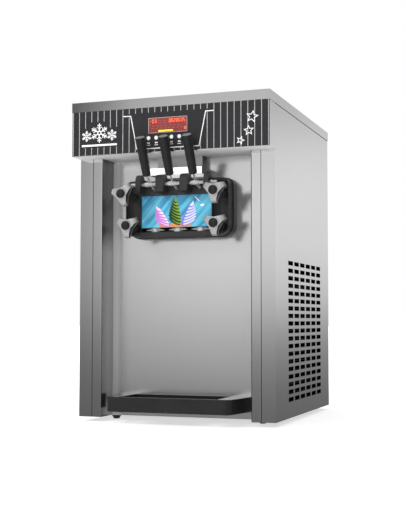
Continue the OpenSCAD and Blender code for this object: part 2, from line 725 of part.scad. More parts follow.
module compressor() color("#26282b") place() translate([-130, 310, 2]) {
  translate([0, 0, 24]) rotate_extrude() polygon([[0, 0], [60, 0], [74, 12], [78, 30], [78, 120], [72, 148],
    [56, 166], [30, 175], [0, 177]]);
  for (a = [45 : 90 : 315]) rotate([0, 0, a]) {
    slab([50, -14, 16], [104, 14, 26]);
    rod_z_at([92, 0, 0], 11, 17);
  }
  // suction and discharge tubes
  rod_z_at([16, 0, 160], 6, 40);
  rod_z_at([-16, 0, 160], 5, 44);
}

// Finned condenser with its shroud, strut and fan motor
module condenser() color("#8b8f94") place() {
  x0 = fan_x + 26;
  z0 = 2;
  slab([x0, fan_y - 150, z0], [x0 + 44, fan_y - 146, 380]);
  slab([x0, fan_y + 146, z0], [x0 + 44, fan_y + 150, 380]);
  for (z = [20 : 12 : 368]) slab([x0 + 4, fan_y - 146, z], [x0 + 40, fan_y + 146, z + 2]);
  for (y = [-120, -40, 40, 120]) rod_z_at([x0 + 22, fan_y + y, 10], 5, 365);
  difference() {
    slab([fan_x - 20, fan_y - 150, fan_z - 140], [x0, fan_y + 150, fan_z + 140]);
    rod_x([fan_x - 30, fan_y, fan_z], fan_r + 8, 80);
  }
  slab([fan_x - 20, fan_y - 150, z0], [fan_x - 18, fan_y + 150, fan_z - 140]);
  slab([fan_x - 20, fan_y - 8, fan_z - 140], [fan_x - 17, fan_y + 8, fan_z + 140]);
  rod_x([fan_x - 62, fan_y, fan_z], 34, 42);
  rod_x([fan_x - 22, fan_y, fan_z], 4, 34);
}

module fan_blade() color("#3a3a3d") place() translate([fan_x - 8, fan_y, fan_z]) rotate([0, 90, 0]) {
  difference() {
    union() {
      cylinder(r = 30, h = 18);
      for (k = [0 : 4]) rotate([0, 0, 72 * k]) translate([24, 0, 9]) rotate([28, 0, 0])
        translate([0, -26, -1]) cube([fan_r - 30, 52, 2]);
    }
    translate([0, 0, -1]) cylinder(r = 4.05, h = 30);
  }
}

// ---------------------------------------------------------------- hoppers and rear fittings

module hoppers() color("gainsboro") place() for (s = [-1, 1]) translate([s * hopper_x, 0, 0]) difference() {
  union() {
    slab([-hopper_half, hopper_y0, 652], [hopper_half, hopper_y1, body_h]);
    slab([-hopper_half - 9, hopper_y0 - 9, body_h], [hopper_half + 9, hopper_y1 + 9, body_h + 1.5]);
    rod_z_at([s * (cyl_x - hopper_x), 200, 583.5], 10, 70);
  }
  slab([-hopper_half + 1.5, hopper_y0 + 1.5, 653.5], [hopper_half - 1.5, hopper_y1 - 1.5, body_h + 3]);
  rod_z_at([s * (cyl_x - hopper_x), 200, 580], 8.5, 90);
}

module hopper_lid(s) color("gainsboro") place()
translate([s * hopper_x, (hopper_y0 + hopper_y1) / 2, body_h + 1.5]) {
  w = hopper_half + 10;
  d = (hopper_y1 - hopper_y0) / 2 + 10;
  difference() {
    slab([-w, -d, 0], [w, d, 11]);
    slab([-w + 1.2, -d + 1.2, -1], [w - 1.2, d - 1.2, 9.8]);
  }
  translate([0, 0, 11]) rotate_extrude() polygon([[0, 0], [7, 0], [6, 3], [6, 6], [15, 9], [16, 12],
    [14, 14], [0, 14.6]]);
}
module hopper_lid_left() hopper_lid(-1);
module hopper_lid_right() hopper_lid(1);

module panel_screws() color("silver") place() for (s = screw_spots) translate([s[0], body_d, s[1]])
  rotate([-90, 0, 0]) difference() {
    union() {
      rotate_extrude() polygon([[0, 0], [4.5, 0], [4.4, 0.9], [3.4, 1.9], [2, 2.3], [0, 2.4]]);
      translate([0, 0, -6]) cylinder(r = 2, h = 6);
    }
    for (a = [0, 90]) rotate([0, 0, a]) translate([0, 0, 2.2]) cube([4.6, 0.9, 1.8], center = true);
  }

module power_inlet() color("#1b1b1d") place()
translate([gland_x, body_d, gland_z]) rotate([-90, 0, 0]) difference() {
  union() {
    translate([0, 0, -10]) cylinder(r = 11, h = 12);
    rotate_extrude() polygon([[0, 0], [17, 0], [17, 2.5], [11, 3.5], [9, gland_out], [0, gland_out]]);
    translate([0, 0, -7]) cylinder(r = 15, h = 5.8, $fn = 6);
  }
  translate([0, 0, -20]) cylinder(r = 5, h = 40);
}

base_pan();
inner_frame();
feet();
side_panel_left();
side_panel_right();
rear_panel();
front_pillars();
front_panel();
top_cover();
header_shell();
header_overlay();
display_window();
button_1();
button_2();
button_3();
button_4();
button_5();
button_6();
control_board();
valve_hood();
dispensing_head();
picture_card();
pivot_rod();
lever_stem_left();
lever_stem_middle();
lever_stem_right();
lever_handle_left();
lever_handle_middle();
lever_handle_right();
piston_left();
piston_middle();
piston_right();
nozzles();
head_studs();
hand_nut_upper_left();
hand_nut_upper_right();
hand_nut_lower_left();
hand_nut_lower_right();
nut_cap_upper_left();
nut_cap_upper_right();
nut_cap_lower_left();
nut_cap_lower_right();
drip_tray();
tray_grid();
freezing_cylinders();
beater_left();
beater_right();
hoppers();
hopper_lid_left();
hopper_lid_right();
drive_motor();
motor_pulley();
beater_pulley_left();
beater_pulley_right();
drive_belt();
compressor();
condenser();
fan_blade();
panel_screws();
power_inlet();
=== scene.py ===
"""Looks of the soft serve machine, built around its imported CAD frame."""
import json
import math

import bmesh
import bpy
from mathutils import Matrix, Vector


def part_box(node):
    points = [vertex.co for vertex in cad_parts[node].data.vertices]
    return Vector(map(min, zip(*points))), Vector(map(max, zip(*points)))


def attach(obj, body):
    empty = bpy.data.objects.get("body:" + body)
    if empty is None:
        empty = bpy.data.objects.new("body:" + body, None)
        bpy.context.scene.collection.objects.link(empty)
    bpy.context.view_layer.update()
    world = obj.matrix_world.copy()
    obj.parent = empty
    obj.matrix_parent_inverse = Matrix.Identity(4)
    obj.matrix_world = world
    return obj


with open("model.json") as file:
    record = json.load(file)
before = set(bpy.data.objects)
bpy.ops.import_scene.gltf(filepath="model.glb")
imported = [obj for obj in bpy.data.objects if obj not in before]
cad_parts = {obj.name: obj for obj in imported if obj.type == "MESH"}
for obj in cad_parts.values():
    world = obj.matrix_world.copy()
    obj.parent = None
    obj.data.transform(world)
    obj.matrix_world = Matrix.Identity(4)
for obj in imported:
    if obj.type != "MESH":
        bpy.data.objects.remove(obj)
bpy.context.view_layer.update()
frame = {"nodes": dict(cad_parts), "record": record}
nodes = frame["nodes"]
slot_of = {s["node"]: s["material_slot"] for s in frame["record"]["subparts"]}

# Millimetres in the maker's frame: Y = 0 is the front face of the pillars, Z = 0 the cabinet's
# underside. P() turns them into metres in the row frame.
FOOT_H = 12.0
PANEL_Y = -50.5
ORIGIN_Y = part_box("header_overlay")[0].y * 1000 - PANEL_Y


def P(x, y, z):
    return Vector((x / 1000, (y + ORIGIN_Y) / 1000, (z + FOOT_H) / 1000))


# ---------------------------------------------------------------- camera, light, floor

camera = bpy.data.objects.new("camera", bpy.data.cameras.new("camera"))
bpy.context.scene.collection.objects.link(camera)
camera.location = P(954.1, -2466.5, 253.5)
camera.rotation_euler = (math.radians(93.411), math.radians(-0.035), math.radians(19.566))
camera.data.lens = 72.12
camera.data.sensor_width = 36.0
camera.data.clip_start = 0.05
camera.data.clip_end = 200.0
bpy.context.scene.camera = camera
bpy.context.scene.view_settings.view_transform = "Standard"


def add_light(name, place, target, size, power):
    """A soft area light that brightens the object but isn't mirrored in it."""
    light = bpy.data.lights.new(name, "AREA")
    light.shape = "RECTANGLE"
    light.size, light.size_y = size
    light.energy = power
    obj = bpy.data.objects.new(name, light)
    obj.location = place
    obj.rotation_euler = (Vector(target) - Vector(place)).to_track_quat("-Z", "Y").to_euler()
    obj.visible_glossy = False
    bpy.context.scene.collection.objects.link(obj)


add_light("key", (-1.9, -2.9, 2.3), (0, -0.2, 0.5), (0.45, 0.45), 60)
add_light("fill", (0.6, -3.6, 1.6), (0, -0.2, 0.6), (2.0, 1.2), 14)


def node_tree(owner):
    """The emptied node tree of a world or a material."""
    owner.use_nodes = True
    tree = owner.node_tree
    tree.nodes.clear()
    return tree


def add(tree, kind, **inputs):
    """A node with values set on its sockets, named in lower case with underscores, or else on itself."""
    n = tree.nodes.new(kind)
    for label, value in inputs.items():
        for s in n.inputs:
            if s.name.lower().replace(" ", "_") == label:
                s.default_value = value
                break
        else:
            setattr(n, label, value)
    return n


def math_node(tree, op, *values):
    """A Math node fed by numbers or by the outputs of other nodes."""
    n = tree.nodes.new("ShaderNodeMath")
    n.operation = op
    for s, v in zip(n.inputs, values):
        if isinstance(v, (int, float)):
            s.default_value = v
        else:
            tree.links.new(v, s)
    return n.outputs[0]


def degrees_ramp(t, angle, low, span, stops):
    """Brightness over an angle in radians, from (degrees, value) stops joined by straight lines."""
    curve = t.nodes.new("ShaderNodeValToRGB")
    elements = curve.color_ramp.elements
    while len(elements) < len(stops):
        elements.new(0.5)
    for item, (at, value) in zip(elements, stops):
        item.position = (at - low) / span
        item.color = (value, value, value, 1)
    curve.color_ramp.interpolation = "LINEAR"
    turned = math_node(t, "MULTIPLY_ADD", angle, 180 / math.pi / span, -low / span)
    t.links.new(turned, curve.inputs[0])
    return curve.outputs[0]


# Brightness of the studio by compass angle (0 behind the machine, 90 at its right) and by height
# over the horizon, both in degrees; the two are multiplied and added to FLOOR_TONE.
FLOOR_TONE = 0.095
AROUND = [(-180, 1.0), (-160, 1.0), (-157.5, 0.9), (-155.6, 0.72), (-154, 0.36), (-150, 0.2),
          (-110, 0.2), (-80, 0.8), (-50, 1.0), (25, 1.0), (50, 0.8), (70, 0.1), (115, 0.1),
          (150, 0.2), (158, 0.3), (167, 0.95), (180, 1.0)]
HEIGHT = [(-90, 0.5), (-22, 0.42), (-14, 0.14), (-8, 0.0), (-4, 0.05), (-1.5, 0.16), (0, 0.31),
          (1.5, 0.47), (4, 0.585), (7, 0.61), (9, 0.57), (12, 0.36), (16, 0.34), (24, 0.5),
          (36, 0.9), (90, 1.0)]


def build_world():
    """A white studio for the eye. What the steel mirrors is a soft light with a dark floor under it
    and a darker field at each side."""
    world = bpy.data.worlds.new("studio")
    bpy.context.scene.world = world
    t = node_tree(world)
    coords = t.nodes.new("ShaderNodeTexCoord")
    split = t.nodes.new("ShaderNodeSeparateXYZ")
    t.links.new(coords.outputs["Generated"], split.inputs[0])
    x, y, z = split.outputs
    around = degrees_ramp(t, math_node(t, "ARCTAN2", x, y), -180, 360, AROUND)
    up = degrees_ramp(t, math_node(t, "ARCSINE", z), -90, 180, HEIGHT)
    product = add(t, "ShaderNodeMix", data_type="RGBA", blend_type="MULTIPLY")
    product.inputs[0].default_value = 1.0
    t.links.new(around, product.inputs[6])
    t.links.new(up, product.inputs[7])
    total = add(t, "ShaderNodeMix", data_type="RGBA", blend_type="ADD")
    total.inputs[0].default_value = 1.0
    t.links.new(product.outputs[2], total.inputs[6])
    total.inputs[7].default_value = (FLOOR_TONE, FLOOR_TONE, FLOOR_TONE, 1)
    seen = add(t, "ShaderNodeMix", data_type="RGBA")
    t.links.new(t.nodes.new("ShaderNodeLightPath").outputs["Is Camera Ray"], seen.inputs[0])
    t.links.new(total.outputs[2], seen.inputs[6])
    seen.inputs[7].default_value = (1, 1, 1, 1)
    back = add(t, "ShaderNodeBackground", strength=1.0)
    t.links.new(seen.outputs[2], back.inputs[0])
    out = t.nodes.new("ShaderNodeOutputWorld")
    t.links.new(back.outputs[0], out.inputs[0])


build_world()

# ---------------------------------------------------------------- materials


def surface(name, colour, rough, metallic=0.0, **sockets):
    """A Principled material, its tree, its shader and an Object coordinate output."""
    m = bpy.data.materials.new(name)
    t = node_tree(m)
    shader = t.nodes.new("ShaderNodeBsdfPrincipled")
    shader.inputs["Base Color"].default_value = (*colour, 1)
    shader.inputs["Roughness"].default_value = rough
    shader.inputs["Metallic"].default_value = metallic
    for label, value in sockets.items():
        shader.inputs[label.replace("_", " ")].default_value = value
    out = t.nodes.new("ShaderNodeOutputMaterial")
    t.links.new(shader.outputs[0], out.inputs[0])
    coords = t.nodes.new("ShaderNodeTexCoord")
    return m, t, shader, coords.outputs["Object"]


def noise(t, vector, scale, stretch=(1, 1, 1), detail=3.0):
    """Noise over a coordinate, stretched along the axes with a small factor."""
    mapping = t.nodes.new("ShaderNodeMapping")
    mapping.inputs["Scale"].default_value = stretch
    t.links.new(vector, mapping.inputs[0])
    n = add(t, "ShaderNodeTexNoise", scale=scale, detail=detail)
    t.links.new(mapping.outputs[0], n.inputs["Vector"])
    return n.outputs["Fac"]


def remap(t, value, low, high, from_low=0.3, from_high=0.7):
    """Spreads the middle of a noise, or another range, between two values, held at both ends."""
    n = add(t, "ShaderNodeMapRange")
    t.links.new(value, n.inputs[0])
    for i, v in zip((1, 2, 3, 4), (from_low, from_high, low, high)):
        n.inputs[i].default_value = v
    return n.outputs[0]


def shade(t, factor, dark, light):
    """Colour between two tones."""
    n = add(t, "ShaderNodeMix", data_type="RGBA")
    t.links.new(factor, n.inputs[0])
    n.inputs[6].default_value = (*dark, 1)
    n.inputs[7].default_value = (*light, 1)
    return n.outputs[2]


def bump(t, shader, height, strength, distance):
    """Fine relief of a surface."""
    n = add(t, "ShaderNodeBump", strength=strength, distance=distance)
    t.links.new(height, n.inputs["Height"])
    t.links.new(n.outputs[0], shader.inputs["Normal"])


def brushed(name, tone, rough, metallic=1.0, along="Z", grain=1.0):
    """Metal brushed along one axis, with faint large smudges."""
    m, t, shader, at = surface(name, tone, rough, metallic)
    stretch = {"Z": (1, 1, 0.008), "X": (0.008, 1, 1), "Y": (1, 0.008, 1)}[along]
    fine = noise(t, at, 1900, stretch, 2.0)
    smudge = noise(t, at, 4.0)
    t.links.new(remap(t, fine, rough - 0.015 * grain, rough + 0.02 * grain), shader.inputs["Roughness"])
    mixed = math_node(t, "MULTIPLY_ADD", smudge, 0.5, math_node(t, "MULTIPLY", fine, 0.5))
    dark = tuple(c * (1 - 0.03 * grain) for c in tone)
    light = tuple(min(c * (1 + 0.02 * grain), 1.0) for c in tone)
    t.links.new(shade(t, remap(t, mixed, 0, 1), dark, light), shader.inputs["Base Color"])
    bump(t, shader, fine, 0.012 * grain, 0.0002)
    return m


def facing(t, axis, start, end):
    """0 to 1 as the surface normal's share along an axis of the object goes from start to end."""
    split = t.nodes.new("ShaderNodeSeparateXYZ")
    t.links.new(t.nodes.new("ShaderNodeTexCoord").outputs["Normal"], split.inputs[0])
    side = split.outputs["XYZ".index(axis[-1])]
    if axis[0] == "-":
        side = math_node(t, "MULTIPLY", side, -1.0)
    return remap(t, side, 0, 1, start, end)


def place(t, at, axis, start, end):
    """0 to 1 from one place along an axis to another, in mm of the maker's frame."""
    i = "XYZ".index(axis)
    split = t.nodes.new("ShaderNodeSeparateXYZ")
    t.links.new(at, split.inputs[0])
    return remap(t, split.outputs[i], 0, 1, P(start, start, start)[i], P(end, end, end)[i])


def blend(t, factor, tone, socket):
    """Mixes a tone over what already feeds a colour socket."""
    n = add(t, "ShaderNodeMix", data_type="RGBA")
    t.links.new(factor, n.inputs[0])
    if socket.is_linked:
        t.links.new(socket.links[0].from_socket, n.inputs[6])
    else:
        n.inputs[6].default_value = socket.default_value
    n.inputs[7].default_value = (*tone, 1)
    t.links.new(n.outputs[2], socket)


def steer(t, factor, base, other, socket):
    """Sets a value socket to one number where the factor is 0 and to another where it is 1."""
    t.links.new(remap(t, factor, base, other, 0, 1), socket)


def parts_of(m):
    """The tree, shader and object coordinate of a finished material."""
    t = m.node_tree
    shader = next(n for n in t.nodes if n.type == "BSDF_PRINCIPLED")
    coords = next(n for n in t.nodes if n.type == "TEX_COORD")
    return t, shader, coords.outputs["Object"]


def moulded(name, tone, rough, grain=0.12, coat=0.0, spread=0.25):
    """Moulded plastic with a fine grain and small changes of gloss."""
    m, t, shader, at = surface(name, tone, rough, 0.0, Coat_Weight=coat, Coat_Roughness=0.12)
    fine = noise(t, at, 1500, detail=2.0)
    cloud = noise(t, at, 22.0, detail=4.0)
    t.links.new(remap(t, cloud, rough - 0.05, rough + 0.07), shader.inputs["Roughness"])
    dark = tuple(c * (1 - spread) for c in tone)
    light = tuple(min(c * (1 + spread), 1.0) for c in tone)
    t.links.new(shade(t, remap(t, cloud, 0, 1), dark, light), shader.inputs["Base Color"])
    bump(t, shader, fine, grain, 0.0002)
    return m


def print_ink(name, tone, rough=0.4, glow=0.0):
    """Screen printed ink, slightly uneven."""
    m, t, shader, at = surface(name, tone, rough)
    cloud = noise(t, at, 300.0)
    dark = tuple(c * 0.88 for c in tone)
    t.links.new(shade(t, remap(t, cloud, 0, 1), dark, tone), shader.inputs["Base Color"])
    if glow:
        shader.inputs["Emission Color"].default_value = (*tone, 1)
        shader.inputs["Emission Strength"].default_value = glow
    return m


steel = (0.93, 0.93, 0.935)
materials = {
    "brushed_steel": brushed("brushed_steel", steel, 0.12),
    "galvanised_steel": brushed("galvanised_steel", (0.16, 0.16, 0.165), 0.5),
    "polished_steel": brushed("polished_steel", (0.82, 0.82, 0.83), 0.10),
    "black_rubber": moulded("black_rubber", (0.022, 0.022, 0.023), 0.75, grain=0.3),
    "printed_panel": moulded("printed_panel", (0.022, 0.022, 0.024), 0.5, grain=0.01, spread=0.08),
    "display_red": moulded("display_red", (0.24, 0.035, 0.035), 0.22, grain=0.0, coat=0.6, spread=0.08),
    "button_white": moulded("button_white", (0.92, 0.92, 0.91), 0.3, grain=0.02, spread=0.02),
    "circuit_board": moulded("circuit_board", (0.03, 0.16, 0.07), 0.5),
    "head_plastic": moulded("head_plastic", (0.030, 0.030, 0.031), 0.40, grain=0.06, spread=0.1),
    "picture_print": moulded("picture_print", (0.08, 0.42, 0.62), 0.3, grain=0.02, coat=0.5),
    "chrome_rod": brushed("chrome_rod", (0.95, 0.95, 0.955), 0.26, metallic=0.75, along="X"),
    "handle_plastic": moulded("handle_plastic", (0.015, 0.015, 0.016), 0.34, grain=0.04, spread=0.1),
    "piston_plastic": moulded("piston_plastic", (0.8, 0.8, 0.78), 0.45, spread=0.03),
    "cast_nut_metal": brushed("cast_nut_metal", (0.60, 0.60, 0.605), 0.36, metallic=0.6),
    "nozzle_metal": brushed("nozzle_metal", (0.8, 0.8, 0.81), 0.4, metallic=0.3),
    "tray_plastic": moulded("tray_plastic", (0.020, 0.020, 0.021), 0.22, grain=0.01, coat=0.6, spread=0.05),
    "pulley_aluminium": brushed("pulley_aluminium", (0.66, 0.66, 0.67), 0.35, along="Y"),
    "motor_grey": moulded("motor_grey", (0.06, 0.065, 0.075), 0.45, grain=0.2),
    "compressor_black": moulded("compressor_black", (0.015, 0.015, 0.017), 0.4, grain=0.2),
    "belt_rubber": moulded("belt_rubber", (0.018, 0.018, 0.018), 0.8, grain=0.3),
}
materials["pillar_steel"] = brushed("pillar_steel", steel, 0.11)
materials["panel_steel"] = brushed("panel_steel", (0.97, 0.97, 0.975), 0.18, metallic=0.88, grain=0.3)
materials["band_steel"] = brushed("band_steel", (0.95, 0.95, 0.955), 0.16, along="X")
materials["shell_steel"] = brushed("shell_steel", steel, 0.14, along="X")
materials["hood_steel"] = brushed("hood_steel", (0.62, 0.62, 0.625), 0.30, metallic=0.6)
materials["side_steel"] = brushed("side_steel", steel, 0.12)
materials["condenser_fins"] = moulded("condenser_fins", (0.012, 0.012, 0.012), 0.6)
materials["grid_plastic"] = moulded("grid_plastic", (0.008, 0.008, 0.008), 0.6)
node_material = {
    "front_pillars": "pillar_steel", "front_panel": "panel_steel", "top_cover": "band_steel",
    "valve_hood": "hood_steel", "header_shell": "shell_steel", "condenser": "condenser_fins",
    "tray_grid": "grid_plastic",
}

# painted shade: the nuts keep bright faces, and their side walls are coloured near black and made dull, as
# painted shade
t, shader, at = parts_of(materials["cast_nut_metal"])
painted_shade_sides = facing(t, "-Y", 0.75, 0.30)
blend(t, painted_shade_sides, (0.035, 0.035, 0.035), shader.inputs["Base Color"])
steer(t, painted_shade_sides, 0.6, 0.0, shader.inputs["Metallic"])
steer(t, painted_shade_sides, 0.36, 0.8, shader.inputs["Roughness"])

# painted shade: the outlets' lowest ends, under the head, are coloured near black
t, shader, at = parts_of(materials["nozzle_metal"])
blend(t, place(t, at, "Z", 468.0, 466.5), (0.05, 0.05, 0.05), shader.inputs["Base Color"])

# painted light: where the cover behind the levers steps out, its front is coloured white and made to glow
# as a painted highlight, and its right side is coloured near black as painted shade
t, shader, at = parts_of(materials["hood_steel"])
front = math_node(t, "MULTIPLY", facing(t, "-Y", 0.6, 0.9), place(t, at, "Z", 646.5, 645.0))
blend(t, front, (0.95, 0.95, 0.95), shader.inputs["Base Color"])
steer(t, front, 0.6, 0.0, shader.inputs["Metallic"])
shader.inputs["Emission Color"].default_value = (1, 1, 1, 1)
steer(t, front, 0.0, 0.55, shader.inputs["Emission Strength"])
# painted shade on the cover's right side
blend(t, facing(t, "X", 0.5, 0.9), (0.06, 0.06, 0.06), shader.inputs["Base Color"])

# painted shade: the faces inside the side panels and the cut edges of their air slots are coloured near
# black and made dull, for the shade within the cabinet
SLOTS_Y0, SLOTS_Y1 = 113.0, 503.0
for side, axis in (("right", "-X"), ("left", "X")):
    m = materials["side_steel"].copy()
    m.name = "side_steel_" + side
    materials[m.name] = m
    node_material["side_panel_" + side] = m.name
    t, shader, at = parts_of(m)
    inside_painted_shade = facing(t, axis, 0.5, 0.9)
    blend(t, inside_painted_shade, (0.02, 0.02, 0.02), shader.inputs["Base Color"])
    steer(t, inside_painted_shade, 0.12, 0.7, shader.inputs["Roughness"])
    # painted shade on the cut edges of the air slots
    slots = math_node(t, "MULTIPLY", place(t, at, "Y", SLOTS_Y0 - 5, SLOTS_Y0),
                      place(t, at, "Y", SLOTS_Y1 + 10, SLOTS_Y1))
    edge = math_node(t, "MULTIPLY", facing(t, axis, -0.6, -0.3), slots)
    blend(t, edge, (0.03, 0.03, 0.03), shader.inputs["Base Color"])

# the bay's back sheet is duller at its left edge, so it doesn't mirror the wall beside it
t, shader, at = parts_of(materials["panel_steel"])
steer(t, place(t, at, "X", -170, -190), 0.88, 0.55, shader.inputs["Metallic"])

# the walls of the bay stand in their own shade, deepest behind the head
t, shader, at = parts_of(materials["pillar_steel"])
wall = facing(t, "X", 0.7, 0.97)
blend(t, wall, (0.50, 0.50, 0.505), shader.inputs["Base Color"])
blend(t, facing(t, "-X", 0.2, 0.6), (0.16, 0.16, 0.16), shader.inputs["Base Color"])
upper = math_node(t, "MULTIPLY", wall, place(t, at, "Z", 428, 488))
blend(t, upper, (0.16, 0.16, 0.16), shader.inputs["Base Color"])

# painted shade: the cover's band is coloured darker towards its left end
t, shader, at = parts_of(materials["band_steel"])
blend(t, place(t, at, "X", -100, -300), (0.30, 0.30, 0.305), shader.inputs["Base Color"])

# the underside of the header's shell is satin and catches the light from the floor
t, shader, at = parts_of(materials["shell_steel"])
under = facing(t, "-Z", 0.6, 0.9)
steer(t, under, 1.0, 0.0, shader.inputs["Metallic"])
steer(t, under, 0.14, 0.6, shader.inputs["Roughness"])
blend(t, under, (0.62, 0.62, 0.62), shader.inputs["Base Color"])

for name, obj in nodes.items():
    obj.data.materials.clear()
    obj.data.materials.append(materials[node_material.get(name, slot_of[name])])
nodes["picture_card"].visible_glossy = False
nodes["picture_card"].visible_diffuse = False


# ---------------------------------------------------------------- mesh helpers


def finish_mesh(name, bm, material, body="cabinet"):
    """Turns a bmesh into a piece that rides a body and fills a slot. Card prints aren't mirrored."""
    bmesh.ops.remove_doubles(bm, verts=bm.verts, dist=1e-7)
    bmesh.ops.recalc_face_normals(bm, faces=bm.faces)
    mesh = bpy.data.meshes.new(name)
    bm.to_mesh(mesh)
    bm.free()
    obj = bpy.data.objects.new(name, mesh)
    bpy.context.scene.collection.objects.link(obj)
    mesh.materials.append(materials[material])
    if name.startswith("card_"):
        obj.visible_glossy = obj.visible_diffuse = False
    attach(obj, body)


def add_plate(bm, outline, y_back, y_front):
    """A flat prism from an outline of (x, z) points in mm, between two depths."""
    rings = []
    for y in (y_back, y_front):
        rings.append([bm.verts.new(P(x, y, z)) for x, z in outline])
    n = len(outline)
    for i in range(n):
        j = (i + 1) % n
        bm.faces.new((rings[0][i], rings[0][j], rings[1][j], rings[1][i]))
    bm.faces.new(rings[1])
    bm.faces.new(list(reversed(rings[0])))


def rect(x0, x1, z0, z1):
    """The corners of a rectangle."""
    return [(x0, z0), (x1, z0), (x1, z1), (x0, z1)]


def ellipse(cx, cz, rx, rz, tilt, n=36):
    """Points of an ellipse turned by some degrees."""
    c, s = math.cos(math.radians(tilt)), math.sin(math.radians(tilt))
    pts = []
    for i in range(n):
        a = 2 * math.pi * i / n
        u, v = rx * math.cos(a), rz * math.sin(a)
        pts.append((cx + u * c - v * s, cz + u * s + v * c))
    return pts


def line_plates(bm, points, width, y_back, y_front, closed=False):
    """A printed line of even width through (x, z) points, mitred at its corners."""
    pts = [Vector(p) for p in points]
    n = len(pts)
    left, right = [], []
    for i, p in enumerate(pts):
        before = pts[i - 1] if (i or closed) else None
        after = pts[(i + 1) % n] if (i < n - 1 or closed) else None
        d1 = (p - before).normalized() if before is not None else (after - p).normalized()
        d2 = (after - p).normalized() if after is not None else d1
        n1, n2 = Vector((-d1.y, d1.x)), Vector((-d2.y, d2.x))
        m = (n1 + n2).normalized()
        m *= width / 2 / max(m.dot(n1), 0.3)
        left.append(p + m)
        right.append(p - m)
    for i in range(n if closed else n - 1):
        j = (i + 1) % n
        add_plate(bm, [tuple(left[i]), tuple(left[j]), tuple(right[j]), tuple(right[i])], y_back, y_front)


# ---------------------------------------------------------------- header print

STRIPE = 17.7
PRINT_Y = PANEL_Y - 0.12
PRINT_BACK = PANEL_Y + 0.05
PANEL_Z0, PANEL_Z1 = 680.2, 794.3
BRACKET_IN, BRACKET_OUT, BRACKET_END = 84.5, 102.0, 123.9
BRACKET_LOW, BRACKET_TOP = 688.5, 775.0
BRACKET_HALF = [(BRACKET_IN, BRACKET_LOW), (BRACKET_OUT, BRACKET_TOP), (BRACKET_END, BRACKET_TOP + 0.4)]
BRACKET = [(-x, z) for x, z in reversed(BRACKET_HALF)] + BRACKET_HALF
MOTIF = (-190.5, 733.0)
MOTIF_HALF = 54.0

materials["stripe_ink"] = print_ink("stripe_ink", (0.43, 0.43, 0.44))
materials["white_ink"] = print_ink("white_ink", (0.86, 0.86, 0.86))


def bracket_z(x):
    """Height of the bracket line over a place on the panel, or None from its ends outwards."""
    x = abs(x)
    if x > BRACKET_END - 0.5:
        return None
    if x > BRACKET_OUT:
        return BRACKET_TOP
    if x > BRACKET_IN:
        share = (x - BRACKET_IN) / (BRACKET_OUT - BRACKET_IN)
        return BRACKET_LOW + share * (BRACKET_TOP - BRACKET_LOW)
    return BRACKET_LOW


# thin upright stripes that stop short of the bracket line and of the motif
bm = bmesh.new()
for k in range(-15, 16):
    x = k * STRIPE
    top = bracket_z(x)
    if top is None:
        spans = [(PANEL_Z0, PANEL_Z1)]
        off = abs(x - MOTIF[0])
        if off < MOTIF_HALF:
            spans = [(PANEL_Z0, MOTIF[1] - 34.0), (MOTIF[1] + (33.0 if off < 25 else 17.0), PANEL_Z1)]
    else:
        spans = [(PANEL_Z0, top - 2.2), (BRACKET_TOP + 6.0, PANEL_Z1)]
    for z0, z1 in spans:
        add_plate(bm, rect(x - 0.9, x + 0.9, z0, z1), PRINT_BACK, PRINT_Y)
finish_mesh("header_stripes", bm, "stripe_ink")

bm = bmesh.new()
line_plates(bm, BRACKET, 2.4, PRINT_BACK, PRINT_Y - 0.02)
finish_mesh("header_bracket", bm, "white_ink")


def star_points(cx, cz, r, turn):
    """The ten corners of a five-pointed star."""
    pts = []
    for i in range(10):
        a = math.radians(90 + turn + 36 * i)
        q = r if i % 2 == 0 else r * 0.45
        pts.append((cx + q * math.cos(a), cz + q * math.sin(a)))
    return pts


bm = bmesh.new()
for cx, cz, r, turn in ((223.6, 753.2, 14.5, -12), (214.7, 719.4, 11.8, 4), (193.2, 695.8, 9.2, -20)):
    line_plates(bm, star_points(cx, cz, r, turn), 1.9, PRINT_BACK, PRINT_Y - 0.03, closed=True)
finish_mesh("header_stars", bm, "white_ink")

# a large frost flake between two small ones, with a plain bar under them


def draw_flake(bm, cx, cz, r, width):
    """Six arms, each with two pairs of side branches, round a small hexagon."""
    c = Vector((cx, cz))
    for k in range(6):
        a = math.radians(60 * k + 30)
        d = Vector((math.cos(a), math.sin(a)))
        s = Vector((-d.y, d.x))
        line_plates(bm, [c + d * r * 0.12, c + d * r], width, PRINT_BACK, PRINT_Y - 0.02)
        for along, out in ((0.42, 0.26), (0.68, 0.21)):
            tip = c + d * r * (along + out * 0.8)
            line_plates(bm, [tip + s * r * out, c + d * r * along, tip - s * r * out], width * 0.8,
                        PRINT_BACK, PRINT_Y - 0.03)
    hexagon = ellipse(cx, cz, r * 0.2, r * 0.2, 0, 6)
    line_plates(bm, hexagon, width * 0.75, PRINT_BACK, PRINT_Y - 0.04, closed=True)


bm = bmesh.new()
cx, cz = MOTIF
draw_flake(bm, cx, cz + 4.0, 25.0, 2.8)
draw_flake(bm, cx - 36.0, cz - 3.0, 14.5, 2.0)
draw_flake(bm, cx + 36.0, cz - 3.0, 14.5, 2.0)
add_plate(bm, rect(cx - 50.0, cx + 50.0, cz - 30.5, cz - 25.5), PRINT_BACK, PRINT_Y - 0.02)
finish_mesh("header_motif", bm, "white_ink")

# ---------------------------------------------------------------- display and keys

DISPLAY_Y = -50.7
DISPLAY_BACK = DISPLAY_Y + 0.05
materials["display_digit"] = print_ink("display_digit", (1.0, 0.11, 0.035), glow=1.0)
materials["display_bar"] = print_ink("display_bar", (1.0, 0.62, 0.02), glow=1.2)
materials["display_icon"] = print_ink("display_icon", (0.33, 0.09, 0.09), glow=0.05)
materials["display_rim"] = print_ink("display_rim", (0.48, 0.36, 0.37))

